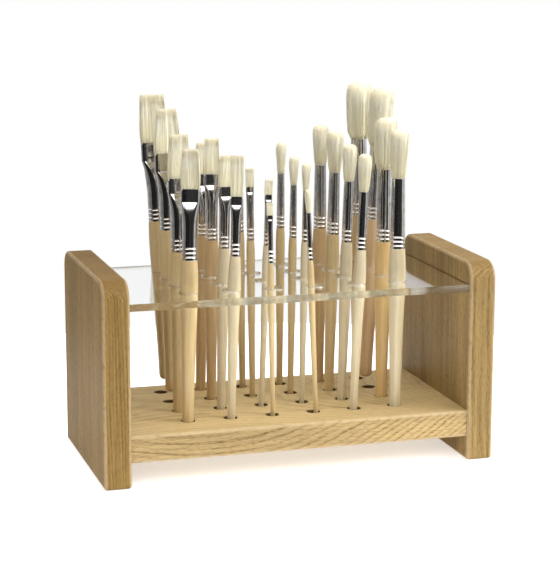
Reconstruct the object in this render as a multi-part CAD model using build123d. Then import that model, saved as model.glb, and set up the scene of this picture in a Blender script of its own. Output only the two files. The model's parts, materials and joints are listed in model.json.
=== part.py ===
from build123d import *
import os
from math import cos, pi, radians, sin, tan

# Artist's brush caddy: two oak end panels, an oak base board with blind holes,
# a clear shelf with through holes above it, and a loose brush in every hole.
# Millimetres. +X along the length, +Y towards the back, +Z up, origin on the
# floor under the middle of the caddy.

# Driving dimensions of the caddy
length = 281.0
depth = 136.5
height = 142.5
board = 19.0
inner_length = length - 2 * board
edge_round = 2.0
panel_corner = 13.0

base_depth = 132.5
base_under = 17.0
base_top = base_under + board

shelf_depth = 132.0
shelf_thick = 5.0
shelf_under = 122.0
groove_depth = 6.0
groove_play = 0.1

dowel_dia = 8.0
dowel_length = 30.0
dowel_in_panel = 11.0
dowel_play = 0.1
dowel_spread = 42.0

# Hole grid: six columns along X, four rows from front to back
columns = 6
rows = 4
column_pitch = 30.36
row_pitch = 27.5
grid_shift_x = 1.2
grid_shift_y = 4.0
base_hole_dia = 10.0
base_hole_depth = 4.0
shelf_hole_dia = 13.5
shelf_hole_shift = 0.8

# Brush sizes 1 to 12
ferrule_dias = [3.8, 4.6, 5.3, 5.9, 7.1, 7.7, 8.9, 9.6, 10.7, 11.2, 12.4, 13.2]
belly_dias = [4.8, 5.5, 6.1, 6.7, 8.9, 9.1, 10.2, 10.8, 12.2, 12.3, 13.9, 14.1]
flat_ferrules = [33.7, 36.3, 38.8, 40.3, 41.5, 43.6, 47.5, 45.0, 49.0, 51.5, 54.4, 56.9]
round_ferrules = [33.7, 37.0, 38.7, 40.7, 41.2, 43.9, 45.3, 47.3, 49.9, 52.4, 53.5, 56.5]
flat_widths = [4.2, 5.4, 5.6, 7.2, 8.5, 9.8, 11.2, 12.2, 13.0, 15.3, 18.2, 19.0]
flat_tips = [3.9, 4.8, 5.2, 6.2, 7.4, 7.8, 9.4, 9.8, 10.0, 11.6, 12.8, 16.1]
round_bulges = [4.6, 6.6, 6.9, 7.2, 9.7, 10.7, 12.2, 12.0, 12.8, 16.2, 17.6, 19.0]
flat_tufts = [8.5, 10.5, 13.3, 14.0, 28.3, 22.0, 25.4, 22.6, 27.2, 30.3, 31.2, 34.0]
round_tufts = [16.2, 19.0, 20.6, 22.5, 26.4, 26.2, 30.0, 29.2, 34.2, 36.4, 42.2, 41.2]

# Brush details
ferrule_wall = 0.4
crimp_wall = 0.8
spigot_length = 13.0
fit_play = 0.05
crimp_count = 3
crimp_pitch = 3.0
crimp_depth = 0.3
crimp_first = 2.4
belly_below_ferrule = 15.0
seat_gap = 0.15
tuft_root = 6.0
lap = 0.6
lap_inset = 0.08

# size, column, row, foot shift in X at the base top, lean in X, lean in Y,
# spin about its own axis, handle length, height of the handle end (None: seated)
flats = [
    (12, 1, 4, 4.5, -2.4, 0.0, -4, 118.0, 46.1),
    (11, 1, 3, 1.7, -0.6, 0.0, -2, 118.0, 43.7),
    (10, 1, 2, 0.2, 0.4, 0.0, -6, 118.5, None),
    (9, 1, 1, -0.3, 1.0, 0.0, -16, 117.5, None),
    (8, 2, 4, -0.2, 1.2, 0.4, 0, 119.0, None),
    (7, 2, 3, 0.7, 0.3, -0.3, -12, 120.5, None),
    (6, 2, 2, 0.5, 1.4, 0.3, 4, 119.0, None),
    (5, 2, 1, 0.5, 1.5, -0.2, -14, 118.5, None),
    (4, 3, 4, 1.6, -0.8, 0.5, 0, 120.0, None),
    (3, 3, 3, 1.4, -0.9, -0.5, -10, 119.0, None),
    (2, 3, 2, 0.1, 2.0, 0.3, -8, 119.5, None),
    (1, 3, 1, 0.5, -1.2, -0.8, -14, 112.5, None),
]
rounds = [
    (1, 4, 1, 1.9, -2.7, -0.6, 0, 113.0, None),
    (2, 4, 2, 0.0, 1.0, 0.5, 0, 120.5, None),
    (3, 4, 3, -0.1, 0.6, -0.3, 0, 119.0, None),
    (4, 4, 4, -0.2, 0.5, 0.8, 0, 121.5, None),
    (5, 5, 1, -0.4, 2.0, -0.4, 0, 118.5, None),
    (6, 5, 2, -0.2, 1.6, 0.3, 0, 119.0, None),
    (7, 5, 3, -0.8, 1.0, -0.4, 0, 120.5, None),
    (8, 5, 4, 0.2, 0.3, 0.5, 0, 120.0, None),
    (9, 6, 1, 0.6, 0.1, 0.0, 0, 118.0, None),
    (10, 6, 2, 0.0, 0.15, 0.0, 0, 118.5, None),
    (11, 6, 3, -3.0, 2.5, 0.0, 0, 118.0, 44.5),
    (12, 6, 4, 1.7, -0.6, 0.0, 0, 118.0, 43.7),
]


def hole_x(column):
    return grid_shift_x + (column - (columns + 1) / 2) * column_pitch


def hole_y(row):
    return grid_shift_y + (row - (rows + 1) / 2) * row_pitch


def hole_spots():
    return [(hole_x(c), hole_y(r)) for c in range(1, columns + 1) for r in range(1, rows + 1)]


def dowel_spots():
    return [-dowel_spread, 0.0, dowel_spread]


def dowel_bore(dia, start_x, run):
    bores = []
    for y in dowel_spots():
        spot = Plane(origin=(start_x, y, base_under + board / 2), z_dir=(1, 0, 0))
        bores.append(spot * Cylinder(dia / 2, run, align=(Align.CENTER, Align.CENTER, Align.MIN)))
    return bores


def end_panel(side):
    """One end panel; side is -1 for the left and +1 for the right."""
    panel = Pos(side * (length - board) / 2, 0, height / 2) * Box(board, depth, height)
    top_ends = panel.edges().filter_by(Axis.X).group_by(Axis.Z)[-1]
    panel = fillet(top_ends, panel_corner)
    panel = fillet(panel.edges(), edge_round)
    inner_face = side * inner_length / 2
    groove_height = shelf_thick + 2 * groove_play
    groove = Pos(inner_face, 0, shelf_under + shelf_thick / 2) * Box(
        2 * groove_depth, shelf_depth + 2 * groove_play, groove_height
    )
    panel -= groove
    bore_depth = dowel_in_panel + dowel_play
    bore_start = inner_face if side > 0 else inner_face - bore_depth
    return panel - dowel_bore(dowel_dia, bore_start, bore_depth)


def base_board():
    plank = Pos(0, 0, base_under + board / 2) * Box(inner_length, base_depth, board)
    plank = fillet(plank.edges().filter_by(Axis.X), edge_round)
    drill = Cylinder(base_hole_dia / 2, base_hole_depth, align=(Align.CENTER, Align.CENTER, Align.MAX))
    bore_depth = dowel_length - dowel_in_panel + dowel_play
    bores = [Pos(x, y, base_top) * drill for x, y in hole_spots()]
    bores += dowel_bore(dowel_dia, -inner_length / 2, bore_depth)
    bores += dowel_bore(dowel_dia, inner_length / 2 - bore_depth, bore_depth)
    return plank - bores


def clear_shelf():
    span = inner_length + 2 * (groove_depth - groove_play)
    sheet = Pos(0, 0, shelf_under + shelf_thick / 2) * Box(span, shelf_depth, shelf_thick)
    drill = Cylinder(shelf_hole_dia / 2, 3 * shelf_thick)
    return sheet - [Pos(x + shelf_hole_shift, y, shelf_under) * drill for x, y in hole_spots()]


def base_dowels(side):
    inner_face = side * inner_length / 2
    start_x = inner_face - (dowel_length - dowel_in_panel)
    if side < 0:
        start_x = inner_face - dowel_in_panel
    pins = dowel_bore(dowel_dia - 2 * fit_play, start_x, dowel_length)
    return Compound(children=[chamfer(pin.edges(), 0.6) for pin in pins])


def handle(size, handle_length):
    """Turned wooden handle, rounded foot at the origin, spigot at the top."""
    ferrule_r = ferrule_dias[size - 1] / 2
    belly_r = belly_dias[size - 1] / 2
    foot_r = 0.35 * ferrule_dias[size - 1] + 0.3
    belly_z = handle_length - belly_below_ferrule
    nose_z = 1.2 * foot_r
    spigot_r = ferrule_r - crimp_wall - fit_play
    swell = belly_r - foot_r
    flat_end = Line((0, 0), (0.4 * foot_r, 0))
    nose = Spline((0.4 * foot_r, 0), (foot_r, nose_z), tangents=[(1, 0), (0, 1)])
    flank = Spline(
        (foot_r, nose_z),
        (foot_r + 0.4 * swell, 0.5 * belly_z),
        (foot_r + 0.72 * swell, 0.75 * belly_z),
        (belly_r, belly_z),
        (ferrule_r, handle_length),
        tangents=[(0, 1), (-0.08, 1)],
    )
    shoulder = Polyline(
        (ferrule_r, handle_length),
        (spigot_r, handle_length),
        (spigot_r, handle_length + spigot_length),
        (0, handle_length + spigot_length),
        (0, 0),
    )
    outline = make_face(Curve() + [flat_end, nose, flank, shoulder])
    return revolve(Plane.XZ * outline, Axis.Z)


def crimp_profile(radius, start_z):
    """Outline points of the crimped foot of a ferrule, going up."""
    points = [(radius, start_z)]
    for i in range(crimp_count):
        middle = start_z + crimp_first + i * crimp_pitch
        points += [
            (radius, middle - 0.7),
            (radius - crimp_depth, middle - 0.2),
            (radius - crimp_depth, middle + 0.2),
            (radius, middle + 0.7),
        ]
    return points


def oval(width, thick, squareness, z):
    """Closed section between an ellipse (2) and a rounded rectangle (5)."""
    steps = 20
    points = []
    for i in range(steps):
        turn = 2 * pi * (i + 0.5) / steps
        along = cos(turn)
        across = sin(turn)
        x = width / 2 * abs(along) ** (2 / squareness) * (1 if along >= 0 else -1)
        y = thick / 2 * abs(across) ** (2 / squareness) * (1 if across >= 0 else -1)
        points.append((x, y))
    return Pos(0, 0, z) * make_face(Spline(*points, periodic=True))


def flat_thickness(size):
    return 0.34 * ferrule_dias[size - 1] + 0.3


def flat_shell(size, low, mouth, inset, overrun):
    """Ferrule body of a flat brush: round at the foot, pressed flat at the mouth."""
    dia = ferrule_dias[size - 1] - 2 * inset
    width = flat_widths[size - 1] - 2 * inset
    thick = flat_thickness(size) - 2 * inset
    crease = mouth - 0.7 * flat_widths[size - 1]
    sections = [oval(dia, dia, 2, low - overrun)]
    for part in (0.3, 0.65, 1.0):
        ease = part * part * (3 - 2 * part)
        sections.append(
            oval(
                dia + (width - dia) * ease,
                dia + (thick - dia) * ease,
                2 + 3 * ease,
                low + (crease - low) * part,
            )
        )
    sections.append(oval(width, thick, 5, mouth + overrun))
    return loft(sections, ruled=True)


def flat_head(size, handle_length):
    """Ferrule and bristle tuft of a flat brush."""
    ferrule_r = ferrule_dias[size - 1] / 2
    width = flat_widths[size - 1]
    thick = flat_thickness(size)
    low = handle_length + 0.3 * flat_ferrules[size - 1]
    mouth = handle_length + flat_ferrules[size - 1]
    foot_points = crimp_profile(ferrule_r, handle_length) + [
        (ferrule_r, low + lap),
        (ferrule_r - crimp_wall, low + lap),
        (ferrule_r - crimp_wall, handle_length),
    ]
    foot = revolve(Plane.XZ * make_face(Polyline(*foot_points, close=True)), Axis.Z)
    outer = flat_shell(size, low, mouth, lap_inset, 0)
    ferrule = foot + (outer - flat_shell(size, low, mouth, lap_inset + ferrule_wall, lap))
    root = 2 * (lap_inset + ferrule_wall + fit_play)
    tip = mouth + flat_tufts[size - 1]
    tuft = loft(
        [
            oval(width - root, thick - root, 5, mouth - 0.6 * tuft_root),
            oval(width - root, thick - root, 5, mouth),
            oval(width, thick, 4, mouth + 0.45 * (tip - mouth)),
            oval(flat_tips[size - 1], 0.9 * thick, 4, tip),
        ],
        ruled=True,
    )
    return Compound(children=[ferrule, tuft])


def round_head(size, handle_length):
    """Ferrule and bristle tuft of a round brush."""
    ferrule_length = round_ferrules[size - 1]
    ferrule_r = ferrule_dias[size - 1] / 2
    mouth_r = 0.88 * ferrule_r
    bulge_r = round_bulges[size - 1] / 2
    mouth = handle_length + ferrule_length
    tip = mouth + round_tufts[size - 1]
    tube_points = crimp_profile(ferrule_r, handle_length) + [
        (mouth_r, mouth),
        (mouth_r - ferrule_wall, mouth),
        (ferrule_r - crimp_wall, handle_length + spigot_length + 1),
        (ferrule_r - crimp_wall, handle_length),
    ]
    ferrule = revolve(Plane.XZ * make_face(Polyline(*tube_points, close=True)), Axis.Z)
    root_r = mouth_r - ferrule_wall - fit_play
    span = tip - mouth
    side = Spline(
        (root_r, mouth),
        (root_r + 0.62 * (bulge_r - root_r), mouth + 0.45 * span),
        (bulge_r, mouth + 0.8 * span),
        (0.66 * bulge_r, mouth + 0.965 * span),
        (0, tip),
        tangents=[(0.05, 1), (-1, 0)],
    )
    root = Polyline((0, tip), (0, mouth - tuft_root), (root_r - 0.3, mouth - tuft_root), (root_r, mouth))
    tuft = revolve(Plane.XZ * make_face(Curve() + [side, root]), Axis.Z)
    return Compound(children=[ferrule, tuft])


def brush_plane(brush):
    """Plane at the handle's foot whose normal is the brush's leaning axis."""
    size, column, row, foot_x, lean_x, lean_y, spin, handle_length, end_z = brush
    if end_z is None:
        end_z = base_top - base_hole_depth + seat_gap
    slope_x = tan(radians(lean_x))
    slope_y = tan(radians(lean_y))
    origin = (
        hole_x(column) + foot_x + slope_x * (end_z - base_top),
        hole_y(row) + slope_y * (end_z - base_top),
        end_z,
    )
    turned = (cos(radians(spin)), sin(radians(spin)), 0)
    return Plane(origin=origin, x_dir=turned, z_dir=(slope_x, slope_y, 1))


os.makedirs("parts", exist_ok=True)
nodes = {
    "left_end_panel": end_panel(-1),
    "right_end_panel": end_panel(1),
    "base_board": base_board(),
    "clear_shelf": clear_shelf(),
    "left_base_dowels": base_dowels(-1),
    "right_base_dowels": base_dowels(1),
}
for family, brushes, make_head in (("flat", flats, flat_head), ("round", rounds, round_head)):
    for brush in brushes:
        size = brush[0]
        handle_length = brush[7]
        place = brush_plane(brush).location
        name = f"{family}_brush_{size:02d}"
        nodes[name + "_handle"] = place * handle(size, handle_length)
        nodes[name + "_head"] = place * make_head(size, handle_length)
for name, shape in nodes.items():
    export_step(shape, f"parts/{name}.step")
print(len(nodes), "nodes written")
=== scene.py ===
import bpy
import json
import math
import numpy as np
from mathutils import Euler, Matrix, Vector


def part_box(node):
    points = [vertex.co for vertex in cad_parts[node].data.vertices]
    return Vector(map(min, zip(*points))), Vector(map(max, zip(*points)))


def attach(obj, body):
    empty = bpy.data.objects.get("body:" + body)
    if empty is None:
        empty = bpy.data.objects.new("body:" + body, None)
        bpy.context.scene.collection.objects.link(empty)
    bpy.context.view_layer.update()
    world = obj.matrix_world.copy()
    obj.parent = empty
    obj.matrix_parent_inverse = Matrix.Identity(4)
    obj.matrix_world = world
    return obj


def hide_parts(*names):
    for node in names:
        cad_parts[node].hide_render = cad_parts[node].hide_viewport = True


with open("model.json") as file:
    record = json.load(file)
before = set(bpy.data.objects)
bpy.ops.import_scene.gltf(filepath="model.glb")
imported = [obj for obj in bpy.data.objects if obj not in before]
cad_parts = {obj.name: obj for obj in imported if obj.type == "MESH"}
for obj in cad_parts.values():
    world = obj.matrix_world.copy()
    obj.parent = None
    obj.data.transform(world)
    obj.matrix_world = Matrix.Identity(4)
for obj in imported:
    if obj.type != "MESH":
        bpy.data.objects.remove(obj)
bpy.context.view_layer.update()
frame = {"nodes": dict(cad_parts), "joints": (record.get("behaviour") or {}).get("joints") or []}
mm = 0.001
print("frame loaded:", len(frame["nodes"]), "nodes")

# ---- camera

cameraSetup = {
    "place": (-0.38797, -1.29071, 0.39284),
    "turn": 0.294,  # radians towards +X
    "tilt": 0.2005,  # radians down
    "roll": 0.0028,
    "lens": 120.5,
}


def makeCamera(s):
    data = bpy.data.cameras.new("camera")
    data.lens = s["lens"]
    data.sensor_width = 36
    data.clip_start = 0.05
    cam = bpy.data.objects.new("camera", data)
    bpy.context.scene.collection.objects.link(cam)
    cam.location = s["place"]
    look = Euler((math.pi / 2 - s["tilt"], 0, -s["turn"]), "XYZ").to_matrix()
    cam.rotation_euler = (look @ Matrix.Rotation(s["roll"], 3, "Z")).to_euler()
    bpy.context.scene.camera = cam


makeCamera(cameraSetup)
bpy.context.scene.view_settings.view_transform = "Standard"

# ---- small helpers for nodes


def addNode(tree, kind, **values):
    node = tree.nodes.new(kind)
    for key, value in values.items():
        setattr(node, key, value)
    return node


def plug(tree, socket, value):
    if isinstance(value, bpy.types.NodeSocket):
        tree.links.new(value, socket)
    else:
        socket.default_value = value


def calc(tree, op, a, b=0.0, c=0.0, clamp=False):
    node = addNode(tree, "ShaderNodeMath", operation=op, use_clamp=clamp)
    for socket, value in zip(node.inputs, (a, b, c)):
        plug(tree, socket, value)
    return node.outputs[0]


def stretch(tree, vector, scale):
    node = addNode(tree, "ShaderNodeVectorMath", operation="MULTIPLY")
    plug(tree, node.inputs[0], vector)
    node.inputs[1].default_value = scale
    return node.outputs[0]


def noise(tree, vector, detail=2.0, rough=0.5):
    node = addNode(tree, "ShaderNodeTexNoise")
    plug(tree, node.inputs["Vector"], vector)
    node.inputs["Scale"].default_value = 1.0
    node.inputs["Detail"].default_value = detail
    node.inputs["Roughness"].default_value = rough
    return node.outputs["Fac"]


def span(tree, value, low, high, toLow=0.0, toHigh=1.0):
    node = addNode(tree, "ShaderNodeMapRange", interpolation_type="SMOOTHSTEP")
    plug(tree, node.inputs["Value"], value)
    for key, number in (("From Min", low), ("From Max", high), ("To Min", toLow), ("To Max", toHigh)):
        plug(tree, node.inputs[key], number)
    return node.outputs["Result"]


def mixColour(tree, factor, a, b, blend="MIX"):
    node = addNode(tree, "ShaderNodeMix", data_type="RGBA", blend_type=blend)
    plug(tree, node.inputs["Factor"], factor)
    plug(tree, node.inputs[6], a)
    plug(tree, node.inputs[7], b)
    return node.outputs[2]


def startGroup(name, inputs, outputs):
    tree = bpy.data.node_groups.new(name, "ShaderNodeTree")
    for label, kind, value in inputs:
        socket = tree.interface.new_socket(label, in_out="INPUT", socket_type="NodeSocket" + kind)
        if value is not None:
            socket.default_value = value
    for label, kind in outputs:
        tree.interface.new_socket(label, in_out="OUTPUT", socket_type="NodeSocket" + kind)
    return tree, tree.nodes.new("NodeGroupInput").outputs, tree.nodes.new("NodeGroupOutput").inputs


def placeGroup(tree, group, **values):
    node = addNode(tree, "ShaderNodeGroup", node_tree=group)
    for key, value in values.items():
        plug(tree, node.inputs[key], value)
    return node.outputs


# ---- shared effects, all in millimetres with the grain or the brush along Z


grain = {
    # cells of each pattern per mm: twice across the grain, then along it
    "wobble": (0.03, 0.03, 0.006),
    "ripple": (0.25, 0.25, 0.02),
    "fibre": (2.2, 2.2, 0.06),
    "streak": (0.45, 0.45, 0.008),
    "pore": (1.7, 1.7, 0.25),
    "drift": (0.012, 0.05, 0.004),
    "rippleReach": 1.4,  # mm that the ripple moves a ring
    "yearStep": 3.7,
    "yearDrift": 0.012,
    "poreColour": (0.10, 0.052, 0.018, 1),
    "shade": (0.72, 1.2),  # darkest and lightest factor on the colour
    "rough": (0.48, 0.7),
}


def timberGroup():
    tree, given, out = startGroup(
        "timberGrain",
        [("Vector", "Vector", None), ("Ring", "Float", 4.0), ("Wander", "Float", 5.0),
         ("Sweep", "Float", 0.0), ("Light", "Color", None), ("Dark", "Color", None)],
        [("Colour", "Color"), ("Roughness", "Float"), ("Height", "Float")],
    )
    place = given["Vector"]
    wobble = noise(tree, stretch(tree, place, grain["wobble"]), 2.0)
    ripple = noise(tree, stretch(tree, place, grain["ripple"]), 2.0)
    parts = addNode(tree, "ShaderNodeSeparateXYZ")
    plug(tree, parts.inputs[0], place)
    radius = calc(tree, "SQRT", calc(tree, "ADD", calc(tree, "POWER", parts.outputs[0], 2.0),
                                     calc(tree, "POWER", parts.outputs[1], 2.0)))
    radius = calc(tree, "ADD", radius, calc(tree, "MULTIPLY", wobble, given["Wander"]))
    radius = calc(tree, "ADD", radius, calc(tree, "MULTIPLY", ripple, grain["rippleReach"]))
    bow = calc(tree, "MULTIPLY", calc(tree, "POWER", parts.outputs[2], 2.0), given["Sweep"])
    radius = calc(tree, "ADD", radius, bow)
    rings = calc(tree, "DIVIDE", radius, given["Ring"])
    turn = calc(tree, "FRACT", rings)
    early = calc(tree, "MULTIPLY", span(tree, turn, 0.0, 0.08), span(tree, turn, 0.2, 0.6, 1.0, 0.0))
    count = addNode(tree, "ShaderNodeCombineXYZ")  # some years leave a fainter ring than others
    plug(tree, count.inputs[0], calc(tree, "MULTIPLY", calc(tree, "FLOOR", rings), grain["yearStep"]))
    plug(tree, count.inputs[2], calc(tree, "MULTIPLY", parts.outputs[2], grain["yearDrift"]))
    year = span(tree, noise(tree, count.outputs[0], 1.0), 0.35, 0.62, 0.35, 0.9)
    early = calc(tree, "MULTIPLY", early, year)
    fibre = noise(tree, stretch(tree, place, grain["fibre"]), 3.0, 0.6)
    streak = noise(tree, stretch(tree, place, grain["streak"]), 3.0, 0.65)
    pore = span(tree, noise(tree, stretch(tree, place, grain["pore"]), 2.0), 0.5, 0.63)
    drift = noise(tree, stretch(tree, place, grain["drift"]), 1.0)
    dark = calc(tree, "MULTIPLY", early, span(tree, fibre, 0.32, 0.62, 0.1, 1.0), clamp=True)
    poreMask = calc(tree, "MULTIPLY", pore, calc(tree, "MULTIPLY_ADD", early, 0.6, 0.4))
    colour = mixColour(tree, dark, given["Light"], given["Dark"])
    colour = mixColour(tree, calc(tree, "MULTIPLY", poreMask, 0.6), colour, grain["poreColour"])
    shade = calc(tree, "ADD", calc(tree, "MULTIPLY", drift, 0.35), calc(tree, "MULTIPLY", fibre, 0.3))
    shade = calc(tree, "ADD", shade, calc(tree, "MULTIPLY", streak, 0.35))
    shade = span(tree, shade, 0.36, 0.64, *grain["shade"])
    grey = addNode(tree, "ShaderNodeCombineColor")
    for i in range(3):
        plug(tree, grey.inputs[i], shade)
    plug(tree, out["Colour"], mixColour(tree, 1.0, colour, grey.outputs[0], "MULTIPLY"))
    plug(tree, out["Roughness"], span(tree, calc(tree, "ADD", dark, poreMask), 0.0, 1.4, *grain["rough"]))
    plug(tree, out["Height"], calc(tree, "SUBTRACT", calc(tree, "MULTIPLY", fibre, 0.3),
                                   calc(tree, "ADD", poreMask, calc(tree, "MULTIPLY", early, 0.35))))
    return tree


turning = {
    "broad": (0.22, 0.22, 0.012),
    "fibre": (2.6, 2.6, 0.07),
    "fleck": (7.0, 7.0, 0.7),
    "footReach": 9.0,  # mm of darker wood at the foot
    "footDark": 0.35,
    "fleckColour": (0.36, 0.21, 0.09, 1),
    "rough": (0.36, 0.5),
}


def turnedWoodGroup():
    tree, given, out = startGroup(
        "turnedWood",
        [("Vector", "Vector", None), ("Light", "Color", None), ("Dark", "Color", None)],
        [("Colour", "Color"), ("Roughness", "Float"), ("Height", "Float")],
    )
    place = given["Vector"]
    broad = noise(tree, stretch(tree, place, turning["broad"]), 2.0)
    fibre = noise(tree, stretch(tree, place, turning["fibre"]), 3.0, 0.6)
    fleck = span(tree, noise(tree, stretch(tree, place, turning["fleck"]), 1.0), 0.62, 0.72)
    parts = addNode(tree, "ShaderNodeSeparateXYZ")
    plug(tree, parts.inputs[0], place)
    foot = span(tree, parts.outputs[2], 0.0, turning["footReach"], turning["footDark"], 0.0)
    figure = span(tree, broad, 0.35, 0.68, 0.0, 0.65)
    figure = calc(tree, "ADD", figure, span(tree, fibre, 0.35, 0.7, 0.0, 0.35))
    figure = calc(tree, "ADD", figure, foot, clamp=True)
    colour = mixColour(tree, figure, given["Light"], given["Dark"])
    colour = mixColour(tree, calc(tree, "MULTIPLY", fleck, 0.25), colour, turning["fleckColour"])
    plug(tree, out["Colour"], colour)
    plug(tree, out["Roughness"], span(tree, fibre, 0.3, 0.7, *turning["rough"]))
    plug(tree, out["Height"], calc(tree, "SUBTRACT", fibre, calc(tree, "MULTIPLY", fleck, 0.6)))
    return tree


def hairNormalGroup():
    # hair scatters light along itself, so a tuft shades more evenly than its outline
    tree, given, out = startGroup("hairNormal", [("Lift", "Float", 0.22)], [("Normal", "Vector")])
    outline = 0.4  # how much of the tuft's own roundness stays
    side = stretch(tree, addNode(tree, "ShaderNodeNewGeometry").outputs["Normal"], (outline,) * 3)
    rise = addNode(tree, "ShaderNodeCombineXYZ")
    plug(tree, rise.inputs[2], given["Lift"])
    both = addNode(tree, "ShaderNodeVectorMath", operation="ADD")
    plug(tree, both.inputs[0], side)
    plug(tree, both.inputs[1], rise.outputs[0])
    unit = addNode(tree, "ShaderNodeVectorMath", operation="NORMALIZE")
    plug(tree, unit.inputs[0], both.outputs[0])
    plug(tree, out["Normal"], unit.outputs[0])
    return tree


drawing = {
    "lines": (7.0, 7.0, 0.2),
    "dents": (0.25, 0.25, 0.05),
    "smudge": (0.3, 0.3, 0.2),
    "rough": (0.05, 0.11),
    "smudgeRough": 0.1,
    "lineDepth": 0.02,
}


def drawnMetalGroup():
    tree, given, out = startGroup("drawnMetal", [("Vector", "Vector", None)],
                                  [("Roughness", "Float"), ("Height", "Float"), ("Tarnish", "Float")])
    place = given["Vector"]
    lines = noise(tree, stretch(tree, place, drawing["lines"]), 2.0)
    dents = noise(tree, stretch(tree, place, drawing["dents"]), 1.0)
    smudge = noise(tree, stretch(tree, place, drawing["smudge"]), 3.0)
    plug(tree, out["Roughness"], calc(tree, "ADD", span(tree, lines, 0.3, 0.7, *drawing["rough"]),
                                      span(tree, smudge, 0.5, 0.75, 0.0, drawing["smudgeRough"])))
    plug(tree, out["Height"], calc(tree, "ADD", calc(tree, "MULTIPLY", lines, drawing["lineDepth"]), dents))
    plug(tree, out["Tarnish"], span(tree, smudge, 0.45, 0.75))
    return tree


def arrisGroup():
    # painted highlight: a pale line along the rounded arrises of a board, where light catches the roundover,
    # from its middle, half sizes and corner radius
    tree, given, out = startGroup(
        "paintedArrisHighlight",
        [("Vector", "Vector", None), ("Half", "Vector", None),
         ("Corner", "Float", 2.0), ("Round", "Float", 2.0)],
        [("Mask", "Float")],
    )
    flat = addNode(tree, "ShaderNodeVectorMath", operation="ABSOLUTE")
    plug(tree, flat.inputs[0], given["Vector"])
    where = addNode(tree, "ShaderNodeSeparateXYZ")
    plug(tree, where.inputs[0], flat.outputs[0])
    half = addNode(tree, "ShaderNodeSeparateXYZ")
    plug(tree, half.inputs[0], given["Half"])
    height = addNode(tree, "ShaderNodeSeparateXYZ")
    plug(tree, height.inputs[0], given["Vector"])
    upper = calc(tree, "GREATER_THAN", height.outputs[2], 0.0)  # only the upper corners are cut round
    more = calc(tree, "MULTIPLY", upper, calc(tree, "SUBTRACT", given["Corner"], given["Round"]))
    bend = calc(tree, "ADD", more, given["Round"])
    past = []
    for i in (1, 2):
        past.append(calc(tree, "ADD", calc(tree, "SUBTRACT", where.outputs[i], half.outputs[i]), bend))
    across = [calc(tree, "MAXIMUM", one, 0.0) for one in past]
    within = calc(tree, "MINIMUM", calc(tree, "MAXIMUM", past[0], past[1]), 0.0)
    reach = calc(tree, "SQRT", calc(tree, "ADD", calc(tree, "POWER", across[0], 2.0),
                                    calc(tree, "POWER", across[1], 2.0)))
    rim = calc(tree, "SUBTRACT", calc(tree, "ADD", reach, within), more)
    face = calc(tree, "ADD", calc(tree, "SUBTRACT", where.outputs[0], half.outputs[0]), given["Round"])
    both = calc(tree, "MINIMUM", rim, face)
    rough = noise(tree, stretch(tree, given["Vector"], (0.6, 0.25, 0.25)), 3.0)
    mask = calc(tree, "MULTIPLY", span(tree, both, -0.5, 0.7), span(tree, rough, 0.25, 0.55, 0.35, 1.0))
    plug(tree, out["Mask"], mask)
    return tree


timberGrain = timberGroup()
paintedArrisHighlight = arrisGroup()
turnedWood = turnedWoodGroup()
drawnMetal = drawnMetalGroup()
hairNormal = hairNormalGroup()

# ---- materials


def startMaterial(name):
    material = bpy.data.materials.new(name)
    material.use_nodes = True
    tree = material.node_tree
    tree.nodes.clear()
    shader = addNode(tree, "ShaderNodeBsdfPrincipled")
    end = addNode(tree, "ShaderNodeOutputMaterial")
    tree.links.new(shader.outputs[0], end.inputs["Surface"])
    return material, tree, shader


def localPlace(tree, matrix):
    where = addNode(tree, "ShaderNodeTexCoord")
    move = addNode(tree, "ShaderNodeMapping", vector_type="TEXTURE")
    plug(tree, move.inputs["Vector"], where.outputs["Object"])
    move.inputs["Location"].default_value = matrix.to_translation()
    move.inputs["Rotation"].default_value = matrix.to_euler()
    move.inputs["Scale"].default_value = (mm, mm, mm)
    return move.outputs[0]


def addBump(tree, shader, height, distance, strength=1.0, under=None):
    bump = addNode(tree, "ShaderNodeBump")
    bump.inputs["Strength"].default_value = strength
    bump.inputs["Distance"].default_value = distance
    plug(tree, bump.inputs["Height"], height)
    if under is not None:
        plug(tree, bump.inputs["Normal"], under)
    plug(tree, shader.inputs["Normal"], bump.outputs[0])


timber = {
    "round": 2.0,
    # painted highlight along the rounded arrises: its colour and strength
    "arris": (0.52, 0.40, 0.24, 1),
    "arrisHighlight": 0.5,
    "endGrain": 0.55,  # how far end grain goes to the dark colour
    "softFace": 0.6,  # how far the base's broad face goes to the light one
    # painted shade inside the drilled holes: its colour and strength, then how deep and how far in it
    # reaches
    "hole": (0.085, 0.045, 0.018, 1),
    "holeDark": 0.85,
    "holeReach": 6.0,  # mm below the board's top
    "holeMargin": 4.0,  # mm of board without holes at front and back
    # node: pith from the origin in mm, tip of the grain, ring, sweep, wander, light, dark, corner radius
    "boards": {
        "left_end_panel": ((-205, -150, 0), (0.012, 0.006, 0.0), 1.5, 0.0, 3.5,
                           (0.27, 0.17, 0.056, 1), (0.15, 0.084, 0.025, 1), 13.0),
        "right_end_panel": ((60, 150, 0), (-0.012, 0.006, 0.0), 1.6, 0.0, 3.5,
                            (0.325, 0.22, 0.086, 1), (0.185, 0.11, 0.04, 1), 13.0),
        "base_board": ((-60, 20, -60), (0.02, math.pi / 2, 0.0), 3.4, -0.0016, 9.0,
                       (0.45, 0.325, 0.152, 1), (0.25, 0.155, 0.06, 1), 2.0),
    },
}


# painted shade: a mask that darkens the walls and floors of the drilled holes, where little light reaches
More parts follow.
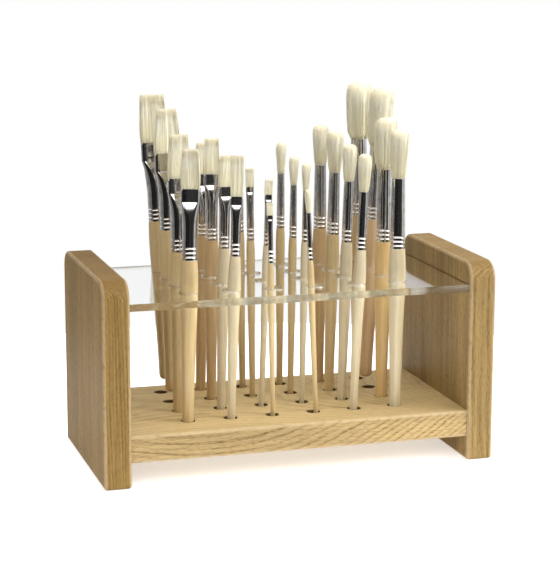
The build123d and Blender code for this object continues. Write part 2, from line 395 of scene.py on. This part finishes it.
def holeMask(tree, low, high):
    place = addNode(tree, "ShaderNodeSeparateXYZ")
    plug(tree, place.inputs[0], localPlace(tree, Matrix.Identity(4)))
    top, front, back = high.z / mm, low.y / mm, high.y / mm
    inside = span(tree, place.outputs[2], top - 0.9, top - 0.1, 1.0, 0.0)
    deep = calc(tree, "GREATER_THAN", place.outputs[2], top - timber["holeReach"])
    inside = calc(tree, "MULTIPLY", inside, deep)
    front, back = front + timber["holeMargin"], back - timber["holeMargin"]
    inside = calc(tree, "MULTIPLY", inside, calc(tree, "GREATER_THAN", place.outputs[1], front))
    inside = calc(tree, "MULTIPLY", inside, calc(tree, "LESS_THAN", place.outputs[1], back))
    return calc(tree, "MULTIPLY", inside, timber["holeDark"])


def timberMaterial(name, node, pith, tip, ring, sweep, wander, light, dark, corner):
    material, tree, shader = startMaterial(name)
    frameOf = Matrix.Translation(Vector(pith) * mm) @ Euler(tip).to_matrix().to_4x4()
    got = placeGroup(tree, timberGrain, Vector=localPlace(tree, frameOf), Ring=ring,
                     Wander=wander, Sweep=sweep, Light=light, Dark=dark)
    low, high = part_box(node)
    half = (high - low) / 2 / mm
    middle = Matrix.Translation((low + high) / 2)
    if node == "base_board":  # its long edges are the rounded ones
        half = Vector((half.z, half.y, 1000))
        middle = middle @ Matrix.Rotation(math.pi / 2, 4, "Y")
    arrisHighlight = placeGroup(tree, paintedArrisHighlight, Vector=localPlace(tree, middle), Half=half, Corner=corner,
                      Round=timber["round"])
    turned = addNode(tree, "ShaderNodeSeparateXYZ")
    plug(tree, turned.inputs[0], addNode(tree, "ShaderNodeNewGeometry").outputs["Normal"])
    upward = span(tree, calc(tree, "ABSOLUTE", turned.outputs[2]), 0.35, 0.95)
    if node == "base_board":  # a flat-sawn face shows its rings more softly
        colour = mixColour(tree, calc(tree, "MULTIPLY", upward, timber["softFace"]), got["Colour"], light)
    else:  # end grain takes the finish darker
        colour = mixColour(tree, calc(tree, "MULTIPLY", upward, timber["endGrain"]), got["Colour"], dark)
    # painted highlight: the rounded arrises drawn paler
    colour = mixColour(tree, calc(tree, "MULTIPLY", arrisHighlight["Mask"], timber["arrisHighlight"]), colour, timber["arris"])
    if node == "base_board":  # painted shade: the drilled holes are drawn darker inside, where little light reaches
        colour = mixColour(tree, holeMask(tree, low, high), colour, timber["hole"])
    plug(tree, shader.inputs["Base Color"], colour)
    plug(tree, shader.inputs["Roughness"], got["Roughness"])
    shader.inputs["Specular IOR Level"].default_value = 0.05
    shader.inputs["Coat Weight"].default_value = 0.02
    shader.inputs["Coat Roughness"].default_value = 0.3
    addBump(tree, shader, got["Height"], 0.00014)
    return material


def dress(node, material):
    mesh = frame["nodes"][node].data
    if not mesh.materials:
        mesh.materials.append(material)
    for i in range(len(mesh.materials)):
        mesh.materials[i] = material


for node, facts in timber["boards"].items():
    dress(node, timberMaterial("oak_" + node, node, *facts))
for node in ("left_base_dowels", "right_base_dowels"):
    dress(node, timberMaterial("birch_" + node, node, (0, 0, 10), (0, math.pi / 2, 0), 2.5, 0.0, 3.0,
                               (0.66, 0.52, 0.33, 1), (0.5, 0.36, 0.2, 1), 0.5))

acrylic = {
    "tint": (0.97, 0.985, 0.975, 1),
    "index": 1.49,
    "upright": (0.5, 0.9),  # how steep a face is before it counts as an edge
    "edgeRough": 0.2,
    "scuffRough": 0.05,
    # the cut edges: frosted, drawn as a diffuse layer whose tan and brown are a painted reflection of the
    # wooden panels
    "edgeReflectionMix": 0.42,
    "leftReflectionMix": 0.45,  # more of the frosted edge with its painted wood reflection at the left end
    "leftEnd": (-85.0, -50.0),  # mm along the shelf
    "panelReflectionReach": (55.0, 100.0),  # mm from the middle, where the edge takes a painted reflection of the panels' wood
    "edgePaleReflection": (0.55, 0.50, 0.33, 1),
    "edgeWoodReflection": (0.27, 0.18, 0.08, 1),
    "clearShadow": (0.9, 0.92, 0.9, 1),
}


def acrylicMaterial(s):
    material, tree, shader = startMaterial("clear_acrylic")
    end = tree.nodes["Material Output"]
    place = localPlace(tree, Matrix.Identity(4))
    shader.inputs["Base Color"].default_value = s["tint"]
    shader.inputs["Transmission Weight"].default_value = 1.0
    shader.inputs["IOR"].default_value = s["index"]
    polish = noise(tree, stretch(tree, place, (0.5, 0.5, 3.0)), 3.0)
    scuff = noise(tree, stretch(tree, place, (0.05, 0.3, 0.3)), 3.0)
    facing = addNode(tree, "ShaderNodeNewGeometry").outputs["Normal"]
    turned = addNode(tree, "ShaderNodeSeparateXYZ")
    plug(tree, turned.inputs[0], facing)
    upright = calc(tree, "SUBTRACT", 1.0, calc(tree, "ABSOLUTE", turned.outputs[2]))
    edge = span(tree, upright, *s["upright"])
    rough = calc(tree, "MULTIPLY", span(tree, scuff, 0.5, 0.8, 0.2, 1.0), s["scuffRough"])
    rough = calc(tree, "ADD", rough, calc(tree, "MULTIPLY", edge, s["edgeRough"]))
    plug(tree, shader.inputs["Roughness"], rough)
    addBump(tree, shader, polish, 0.00001, 0.6)
    spot = addNode(tree, "ShaderNodeSeparateXYZ")
    plug(tree, spot.inputs[0], place)
    outer = span(tree, calc(tree, "ABSOLUTE", spot.outputs[0]), *s["panelReflectionReach"])
    streak = noise(tree, stretch(tree, place, (0.11, 0.02, 0.35)), 3.0, 0.6)
    woodReflection = calc(tree, "MULTIPLY", calc(tree, "ADD", outer, span(tree, streak, 0.35, 0.65)), 0.8, clamp=True)
    # painted reflection: a diffuse layer on the frosted edges, coloured like the wood seen in them
    edgeReflection = addNode(tree, "ShaderNodeBsdfPrincipled")
    plug(tree, edgeReflection.inputs["Base Color"], mixColour(tree, woodReflection, s["edgePaleReflection"], s["edgeWoodReflection"]))
    plug(tree, edgeReflection.inputs["Roughness"], span(tree, streak, 0.3, 0.7, 0.12, 0.3))
    body = addNode(tree, "ShaderNodeMixShader")
    left = span(tree, spot.outputs[0], *s["leftEnd"], 1.0, 0.0)
    reflectionMix = calc(tree, "MULTIPLY_ADD", left, s["leftReflectionMix"], s["edgeReflectionMix"])
    plug(tree, body.inputs[0], calc(tree, "MULTIPLY", edge, reflectionMix))
    tree.links.new(shader.outputs[0], body.inputs[1])
    tree.links.new(edgeReflection.outputs[0], body.inputs[2])
    seen = addNode(tree, "ShaderNodeBsdfTransparent")
    seen.inputs[0].default_value = s["clearShadow"]
    path = addNode(tree, "ShaderNodeLightPath")
    mix = addNode(tree, "ShaderNodeMixShader")
    tree.links.new(path.outputs["Is Shadow Ray"], mix.inputs[0])
    tree.links.new(body.outputs[0], mix.inputs[1])
    tree.links.new(seen.outputs[0], mix.inputs[2])
    tree.links.new(mix.outputs[0], end.inputs["Surface"])
    return material


dress("clear_shelf", acrylicMaterial(acrylic))
print("boards and shelf dressed")

# ---- brushes

brushSizes = {  # in mm, sizes 1 to 12, and flatSpin in degrees
    "ferruleDia": [3.8, 4.6, 5.3, 5.9, 7.1, 7.7, 8.9, 9.6, 10.7, 11.2, 12.4, 13.2],
    "flatFerrule": [33.7, 36.3, 38.8, 40.3, 41.5, 43.6, 47.5, 45.0, 49.0, 51.5, 54.4, 56.9],
    "roundFerrule": [33.7, 37.0, 38.7, 40.7, 41.2, 43.9, 45.3, 47.3, 49.9, 52.4, 53.5, 56.5],
    "flatWidth": [4.2, 5.4, 5.6, 7.2, 8.5, 9.8, 11.2, 12.2, 13.0, 15.3, 18.2, 19.0],
    "flatTip": [3.9, 4.8, 5.2, 6.2, 7.4, 7.8, 9.4, 9.8, 10.0, 11.6, 12.8, 16.1],
    "roundBulge": [4.6, 6.6, 6.9, 7.2, 9.7, 11.0, 12.2, 12.0, 13.8, 16.2, 17.8, 19.0],
    "roundBend": [0, 0, 0, 0, 0, 0, 0, 0, 0.2, 1.0, 1.8, 0.3],
    "flatTuft": [8.5, 10.5, 13.3, 14.0, 28.3, 22.0, 25.4, 22.6, 27.2, 30.3, 31.2, 34.0],
    "roundTuft": [16.2, 19.0, 20.6, 22.5, 26.4, 26.2, 30.0, 29.2, 34.2, 36.4, 42.2, 41.2],
    "flatHandle": [112.5, 119.5, 119.0, 120.0, 118.5, 119.0, 120.5, 119.0, 117.5, 118.5, 118.0, 118.0],
    "roundHandle": [113.0, 120.5, 119.0, 121.5, 118.5, 119.0, 120.5, 120.0, 118.0, 118.5, 118.0, 118.0],
    "flatSpin": [-14, -8, -10, 0, -14, 4, -12, 0, -16, -6, -2, -4],
}
handleTones = {  # light and dark of the wood
    "cream": ((0.62, 0.53, 0.355, 1), (0.47, 0.37, 0.21, 1)),
    "straw": ((0.60, 0.455, 0.235, 1), (0.46, 0.32, 0.14, 1)),
    "gold": ((0.68, 0.47, 0.20, 1), (0.56, 0.37, 0.145, 1)),
    "tan": ((0.55, 0.38, 0.19, 1), (0.42, 0.27, 0.12, 1)),
    "pink": ((0.62, 0.43, 0.24, 1), (0.48, 0.32, 0.165, 1)),
}
toneOf = {
    "flat": ["straw", "cream", "straw", "straw", "cream", "cream",
             "tan", "tan", "straw", "straw", "straw", "straw"],
    "round": ["straw", "cream", "straw", "straw", "cream", "cream",
              "straw", "tan", "cream", "gold", "pink", "tan"],
}
ferrule = {
    "wall": 0.4,
    "footWall": 0.8,
    "mouthWall": 0.08,
    "mouthDepths": (2.0, 6.0),
    "boreDepth": 12.0,
    "pressed": 0.34,  # thickness of the flat end, as a part of the diameter
    "pressedMore": 0.3,
    "creaseAt": 0.7,  # crease below the mouth, as a part of the width
    "creaseHalf": 0.2,
    "taperFrom": 11.0,
    "taper": 0.12,
    "crimps": 3,
    "crimpPitch": 3.0,
    "crimpDepth": 0.3,
    "crimpHalf": 0.55,
    "crimpFirst": 2.4,
    "steep": 0.42,  # slope of the pressed part where it meets the crease
    "transition": 0.3,  # part of the length that stays round
    "metal": (0.72, 0.70, 0.68, 1),
    "tarnish": (0.55, 0.51, 0.47, 1),
    "points": 72,
}
tuft = {
    "hair": 0.13,  # radius in mm
    "perArea": 1.5,
    "levels": 7,
    "sides": 3,
    "stray": 0.22,  # mm
    "square": 0.45,  # power that squares a flat tuft's outline
    "heartPoints": 40,
    "heartPart": 0.9,
    "heartSink": 2.5,  # mm down inside the ferrule
    "hairSink": 1.5,
    "domeFrom": 0.79,
    "fullRoot": 0.34,  # how early the widest rounds swell
    "slimRoot": 0.06,
    "strand": (2.0, 2.0, 0.03),  # cells per mm
    "root": (0.90, 0.84, 0.61, 1),
    "tip": (0.90, 0.87, 0.73, 1),
    # darker hairs' own tone, and the painted shade on the tips
    "shade": (0.58, 0.49, 0.28, 1),
    "lift": 0.22,  # how far the shading turns up along the hairs
}
axisOf = {j["child"]: Vector(j["axis"]).normalized() for j in frame["joints"]}


def brushFrame(body, spin):
    mesh = frame["nodes"][body + "_handle"].data
    co = np.empty(len(mesh.vertices) * 3, np.float32)
    mesh.vertices.foreach_get("co", co)
    co = co.reshape(-1, 3).astype(float)
    up = axisOf[body]
    along = co @ np.array(up)
    low = co[along < along.min() + 0.00002]
    foot = (low.min(0) + low.max(0)) / 2
    side = Vector((math.cos(math.radians(spin)), math.sin(math.radians(spin)), 0))
    side = (side - up * side.dot(up)).normalized()
    turned = Matrix((side, up.cross(side), up)).transposed().to_4x4()
    return Matrix.Translation(Vector(foot)) @ turned


def meshPiece(name, points, faces, material, matrix):
    data = bpy.data.meshes.new(name)
    data.from_pydata(points.tolist(), [], faces)
    data.transform(Matrix.Scale(mm, 4))
    data.polygons.foreach_set("use_smooth", [True] * len(data.polygons))
    data.materials.append(material)
    data.validate()
    piece = bpy.data.objects.new(name, data)
    bpy.context.scene.collection.objects.link(piece)
    piece.matrix_world = matrix
    return piece


def ringFaces(rings, count, loop=False):
    faces = []
    for r in range(rings if loop else rings - 1):
        a, b = r * count, ((r + 1) % rings) * count
        for i in range(count):
            j = (i + 1) % count
            faces.append((a + i, a + j, b + j, b + i))
    return faces


def crimp(z):
    depth = 0
    for i in range(ferrule["crimps"]):
        off = abs(z - ferrule["crimpFirst"] - i * ferrule["crimpPitch"]) / ferrule["crimpHalf"]
        if off < 1:
            depth = max(depth, ferrule["crimpDepth"] * (0.5 + 0.5 * math.cos(math.pi * off)))
    return depth


def pressedThickness(dia):
    return ferrule["pressed"] * dia + ferrule["pressedMore"]


def ferruleRing(z, dia, length, width, thick, inset):
    start = ferrule["transition"] * length
    crease = length - ferrule["creaseAt"] * width if width else length
    if width:
        power = max(2.0, ferrule["steep"] * (crease - start) / (dia / 2 - thick / 2))
        part = min(1, max(0, (z - start) / (crease - start))) ** power
        flatHalf = part * (width / 2 - thick / 2)
        radius = (1 - part) * dia / 2 + part * thick / 2
    else:
        flatHalf = 0
        plain = ferrule["taperFrom"]
        radius = dia / 2 * (1 - ferrule["taper"] * max(0, (z - plain) / (length - plain)))
    radius = radius - inset - (0 if inset else crimp(z))
    turns = (np.arange(ferrule["points"]) + 0.5) * 2 * math.pi / ferrule["points"]
    x = radius * np.cos(turns) + np.sign(np.cos(turns)) * flatHalf
    return np.stack([x, radius * np.sin(turns), np.full_like(x, z)], 1)


def ferrulePiece(name, size, length, width, material, matrix):
    dia = brushSizes["ferruleDia"][size - 1]
    thick = pressedThickness(dia)
    plain, near = ferrule["taperFrom"], ferrule["creaseHalf"]
    outer = list(np.arange(0.0, plain, 0.2)) + list(np.linspace(plain, length - 0.2, 44)) + [length - 0.1]
    if width:
        crease = length - ferrule["creaseAt"] * width
        outer = [z for z in outer if abs(z - crease) > 2 * near]
        outer = sorted(outer + [crease - near, crease, crease + near])
    rings = [ferruleRing(z, dia, length, width, thick, 0) for z in outer]
    rings.append(ferruleRing(length, dia, length, width, thick, 0.03))
    rings.append(ferruleRing(length, dia, length, width, thick, ferrule["mouthWall"]))
    for depth in ferrule["mouthDepths"]:
        rings.append(ferruleRing(length - depth, dia, length, width, thick, ferrule["wall"]))
    for z in (ferrule["boreDepth"], 0.0):
        rings.append(ferruleRing(z, dia, length, width, thick, ferrule["footWall"]))
    faces = ringFaces(len(rings), ferrule["points"], loop=True)
    return meshPiece(name, np.concatenate(rings), faces, material, matrix)


def tuftOutline(kind, size, share):
    i = size - 1
    dia = brushSizes["ferruleDia"][i]
    if kind == "flat":
        thick = pressedThickness(dia) - 0.6
        width = brushSizes["flatWidth"][i] - 0.6
        tip = brushSizes["flatTip"][i]
        wide = np.interp(share, [0, 0.012, 0.35, 1], [width, width + 0.6, width + 0.6, tip])
        deep = np.interp(share, [0, 0.012, 0.5, 1], [thick, thick + 0.65, thick + 0.8, thick])
        return wide / 2, deep / 2
    root = 0.88 * dia / 2 - 0.35
    bulge = brushSizes["roundBulge"][i] / 2
    full = tuft["fullRoot"] if size > 9 else tuft["slimRoot"]
    reach = np.interp(share, [0, 0.012, 0.25, 0.5, 0.7, 0.8, 0.9, 0.95, 0.985, 1],
                      [0, 0.22 + full, 0.48 + full, 0.76 + full / 2, 0.95, 1.0, 0.96, 0.84, 0.6, 0.1])
    radius = np.where(np.asarray(share) < 0.8, root + reach * (bulge - root), reach * bulge)
    return radius, radius


def tuftPiece(name, kind, size, length, matrix, material, seed):
    draw = np.random.default_rng(seed)
    tuftLength = brushSizes[kind + "Tuft"][size - 1]
    lean = brushSizes["roundBend"][size - 1] if kind == "round" else 0
    sides, levels = tuft["sides"], tuft["levels"]
    points, faces = [], []
    # solid heart of the tuft, just inside the outer hairs
    heart = tuft["heartPoints"]
    upTo = 0.98 if kind == "flat" else 0.985
    shares = np.concatenate([[-tuft["heartSink"] / tuftLength, 0.0], np.linspace(0.08, upTo, 16)])
    turns = np.arange(heart) * 2 * math.pi / heart
    power = tuft["square"] if kind == "flat" else 1.0
    for share in shares:
        a, b = tuftOutline(kind, size, max(share, 0))
        x = tuft["heartPart"] * a * np.sign(np.cos(turns)) * np.abs(np.cos(turns)) ** power
        y = tuft["heartPart"] * b * np.sign(np.sin(turns)) * np.abs(np.sin(turns)) ** power
        z = np.full(heart, length + share * tuftLength)
        points.append(np.stack([x + lean * max(share, 0) ** 1.5, y, z], 1))
    faces += ringFaces(len(shares), heart)
    faces.append(tuple(range(heart))[::-1])
    faces.append(tuple(range((len(shares) - 1) * heart, len(shares) * heart)))
    first = len(shares) * heart
    # single hairs
    a, b = tuftOutline(kind, size, 0.5)
    count = int(tuft["perArea"] * 2 * math.pi * math.sqrt((a * a + b * b) / 2) / (2 * tuft["hair"]) * 2.2)
    angle = draw.uniform(0, 2 * math.pi, count)
    depth = np.sqrt(draw.uniform(0.55, 1.0, count))
    if kind == "round":
        depth = np.where(draw.random(count) < 0.4, np.sqrt(draw.random(count)), depth)
    cx = np.sign(np.cos(angle)) * np.abs(np.cos(angle)) ** power
    cy = np.sign(np.sin(angle)) * np.abs(np.sin(angle)) ** power
    if kind == "flat":  # evenly across the width
        edge = draw.random(count) < 0.14
        cx = np.where(edge, np.sign(cx), draw.uniform(-1, 1, count))
        cy = np.where(edge, draw.uniform(-1, 1, count), np.sign(cy))
        scale = np.where(draw.random(count) < 0.25, draw.random(count), depth)
        cy = cy * scale
        depth = np.ones(count)
        end = 1 - np.abs(draw.normal(0, 0.011, count))
    else:
        end = np.interp(depth, [0, 0.3, 0.6, 0.8, 0.95, 1], [1, 0.997, 0.985, 0.965, 0.93, 0.9])
        end = end - np.abs(draw.normal(0, 0.009, count))
    bend = draw.normal(0, tuft["stray"], (count, 2))
    thickness = tuft["hair"] * draw.uniform(0.7, 1.25, count)
    corner = draw.uniform(0, 2 * math.pi, count)
    rows = []
    sink = tuft["hairSink"] / tuftLength
    dome = tuft["domeFrom"]
    for level in range(levels):
        part = level / (levels - 1)
        share = -sink + part * (end + sink)
        a, b = tuftOutline(kind, size, np.maximum(share, 0))
        if kind == "round":  # hairs lean in over the dome instead of ending on the outline
            body = tuftOutline(kind, size, np.clip(share, 0, dome))[0]
            over = np.clip((share - dome) / (1 - dome), 0, 1)
            a = b = body * (1 - 0.09 * over ** 1.5)
        sway = part ** 2
        x = cx * depth * a + bend[:, 0] * sway + lean * np.maximum(share, 0) ** 1.5
        y = cy * depth * b + bend[:, 1] * sway
        z = length + share * tuftLength
        radius = thickness * (1.0 if part < 0.7 else 1.0 - 0.8 * (part - 0.7) / 0.3)
        for k in range(sides):
            t = corner + k * 2 * math.pi / sides
            rows.append(np.stack([x + radius * np.cos(t), y + radius * np.sin(t), z], 1))
    hairs = np.stack(rows, 1).reshape(-1, 3)
    points.append(hairs)
    per = levels * sides
    for h in range(count):
        base = first + h * per
        for level in range(levels - 1):
            for k in range(sides):
                m = (k + 1) % sides
                lo, hi = base + level * sides, base + (level + 1) * sides
                faces.append((lo + k, lo + m, hi + m, hi + k))
        faces.append((base, base + 2, base + 1))
        faces.append((base + per - 3, base + per - 2, base + per - 1))
    return meshPiece(name, np.concatenate(points), faces, material, matrix)


def handleMaterial(body, tone, matrix):
    material, tree, shader = startMaterial("handle_wood_" + body)
    light, dark = handleTones[tone]
    got = placeGroup(tree, turnedWood, Vector=localPlace(tree, matrix), Light=light, Dark=dark)
    plug(tree, shader.inputs["Base Color"], got["Colour"])
    plug(tree, shader.inputs["Roughness"], got["Roughness"])
    addBump(tree, shader, got["Height"], 0.00005)
    return material


def ferruleMaterial():
    material, tree, shader = startMaterial("plated_ferrule")
    got = placeGroup(tree, drawnMetal, Vector=localPlace(tree, Matrix.Identity(4)))
    colour = mixColour(tree, got["Tarnish"], ferrule["metal"], ferrule["tarnish"])
    plug(tree, shader.inputs["Base Color"], colour)
    shader.inputs["Metallic"].default_value = 1.0
    plug(tree, shader.inputs["Roughness"], got["Roughness"])
    addBump(tree, shader, got["Height"], 0.0001)
    return material


def bristleMaterial(kind, size, length):
    material, tree, shader = startMaterial("bristle_%s_%02d" % (kind, size))
    place = localPlace(tree, Matrix.Identity(4))
    parts = addNode(tree, "ShaderNodeSeparateXYZ")
    plug(tree, parts.inputs[0], place)
    rise = span(tree, parts.outputs[2], length, length + brushSizes[kind + "Tuft"][size - 1])
    colour = mixColour(tree, rise, tuft["root"], tuft["tip"])
    each = addNode(tree, "ShaderNodeNewGeometry").outputs["Random Per Island"]
    strand = noise(tree, stretch(tree, place, tuft["strand"]), 3.0, 0.65)
    darker = span(tree, each, 0.5, 1.0, 0.0, 0.4)
    darker = calc(tree, "ADD", darker, span(tree, strand, 0.48, 0.7, 0.0, 0.4), clamp=True)
    # painted shade: the top fifth of the tuft is drawn darker so the top light does not wash the tips white
    darker = calc(tree, "ADD", darker, span(tree, rise, 0.8, 1.0, 0.0, 0.45), clamp=True)
    plug(tree, shader.inputs["Base Color"], mixColour(tree, darker, colour, tuft["shade"]))
    plug(tree, shader.inputs["Roughness"], span(tree, strand, 0.3, 0.7, 0.55, 0.75))
    shader.inputs["Specular IOR Level"].default_value = 0.15
    even = placeGroup(tree, hairNormal, Lift=tuft["lift"])
    addBump(tree, shader, strand, 0.0001, under=even["Normal"])
    return material


ferruleMetal = ferruleMaterial()
seed = 0
for kind in ("flat", "round"):
    for size in range(1, 13):
        seed += 1
        body = "%s_brush_%02d" % (kind, size)
        spin = brushSizes["flatSpin"][size - 1] if kind == "flat" else 0
        foot = brushFrame(body, spin)
        handleLength = brushSizes[kind + "Handle"][size - 1]
        long = brushSizes[kind + "Ferrule"][size - 1]
        wide = brushSizes["flatWidth"][size - 1] if kind == "flat" else None
        dress(body + "_handle", handleMaterial(body, toneOf[kind][size - 1], foot))
        seat = foot @ Matrix.Translation((0, 0, handleLength * mm))
        metal = ferrulePiece(body + "_ferrule", size, long, wide, ferruleMetal, seat)
        hair = tuftPiece(body + "_bristles", kind, size, long, seat, bristleMaterial(kind, size, long), seed)
        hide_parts(body + "_head")
        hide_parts(body + "_head")
        for piece in (metal, hair):
            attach(piece, body)
print("brushes made")

# ---- floor and light

studio = {
    "floorRadius": 0.42,
    "floorDrop": 0.0002,
    "floorColour": (0.93, 0.93, 0.93, 1),
    "floorGlow": 0.5,
    "surround": 0.8,
    "leftDim": 0.5,
    "frontBox": 2.3,
    # where the surround changes, by height and by how far it lies ahead
    "ahead": (-0.29, -0.957, 0.0),
    "darkAhead": (0.36, 0.5),
    "darkBelow": (0.28, 0.37),
    "darkness": 0.93,
    "bands": (7.0, 7.0, 0.3),
    "bandRange": (0.4, 0.62, 0.3, 1.0),
    "behind": (-0.3, 0.1),
    "boxAhead": (0.45, 0.6),
    "boxFoot": (0.34, 0.4),
    "boxHead": (0.66, 0.76),
    "leftToRight": (-0.9, 0.3),
    "aim": (0, 0, 0.1),
    "key": ((1.1, -0.6, 0.95), 0.8, 20.0),
    "top": ((0.1, 0.0, 1.5), 1.0, 11.0),
    "left": ((-1.2, -0.5, 0.6), 0.5, 2.5),
}


def makeFloor(s):
    count = 96
    turns = np.arange(count) * 2 * math.pi / count
    radius = s["floorRadius"]
    points = [(radius * math.cos(t), radius * math.sin(t), -s["floorDrop"]) for t in turns]
    data = bpy.data.meshes.new("floor")
    data.from_pydata(points, [], [tuple(range(count))])
    material, tree, shader = startMaterial("floor_paper")
    shader.inputs["Base Color"].default_value = s["floorColour"]
    shader.inputs["Roughness"].default_value = 0.9
    shader.inputs["Emission Color"].default_value = (1, 1, 1, 1)
    shader.inputs["Emission Strength"].default_value = s["floorGlow"]
    data.materials.append(material)
    floor = bpy.data.objects.new("floor", data)
    bpy.context.scene.collection.objects.link(floor)


def makeLight(name, place, size, power):
    data = bpy.data.lights.new(name, "AREA")
    data.shape = "SQUARE"
    data.size = size
    data.energy = power
    lamp = bpy.data.objects.new(name, data)
    bpy.context.scene.collection.objects.link(lamp)
    lamp.location = place
    lamp.rotation_euler = (Vector(studio["aim"]) - Vector(place)).to_track_quat("-Z", "Y").to_euler()


def makeSurround(s):
    world = bpy.data.worlds.new("surround")
    bpy.context.scene.world = world
    world.use_nodes = True
    tree = world.node_tree
    tree.nodes.clear()
    where = addNode(tree, "ShaderNodeTexCoord").outputs["Generated"]
    parts = addNode(tree, "ShaderNodeSeparateXYZ")
    plug(tree, parts.inputs[0], where)
    ahead = addNode(tree, "ShaderNodeVectorMath", operation="DOT_PRODUCT")
    plug(tree, ahead.inputs[0], where)
    ahead.inputs[1].default_value = s["ahead"]
    front = span(tree, ahead.outputs["Value"], *s["darkAhead"])
    low = span(tree, parts.outputs[2], *s["darkBelow"], 1.0, 0.0)
    shadow = calc(tree, "MULTIPLY", front, low)
    bands = noise(tree, stretch(tree, where, s["bands"]), 1.0)  # uneven room beside the dark front
    uneven = span(tree, bands, *s["bandRange"])
    behind = span(tree, ahead.outputs["Value"], *s["behind"], 1.0, 0.0)
    uneven = calc(tree, "MAXIMUM", uneven, behind)
    tall = calc(tree, "MULTIPLY", span(tree, parts.outputs[2], *s["boxFoot"]),
                span(tree, parts.outputs[2], *s["boxHead"], 1.0, 0.0))
    box = calc(tree, "MULTIPLY", span(tree, ahead.outputs["Value"], *s["boxAhead"]), tall)
    level = calc(tree, "SUBTRACT", 1.0, calc(tree, "MULTIPLY", shadow, s["darkness"]))
    level = calc(tree, "MULTIPLY", level, s["surround"])
    level = calc(tree, "MULTIPLY", calc(tree, "MULTIPLY", level, uneven),
                 span(tree, parts.outputs[0], *s["leftToRight"], s["leftDim"], 1.0))
    level = calc(tree, "ADD", level, calc(tree, "MULTIPLY", box, s["frontBox"]))
    path = addNode(tree, "ShaderNodeLightPath")
    strength = addNode(tree, "ShaderNodeMix", data_type="FLOAT")
    clear = calc(tree, "MAXIMUM", path.outputs["Is Camera Ray"], path.outputs["Is Transmission Ray"])
    plug(tree, strength.inputs["Factor"], clear)
    plug(tree, strength.inputs[2], level)
    strength.inputs[3].default_value = 1.0
    back = addNode(tree, "ShaderNodeBackground")
    back.inputs["Color"].default_value = (1, 1, 1, 1)
    plug(tree, back.inputs["Strength"], strength.outputs[0])
    out = addNode(tree, "ShaderNodeOutputWorld")
    tree.links.new(back.outputs[0], out.inputs[0])


makeFloor(studio)
makeSurround(studio)
for name in ("key", "top", "left"):
    makeLight(name, *studio[name])
print("studio ready")
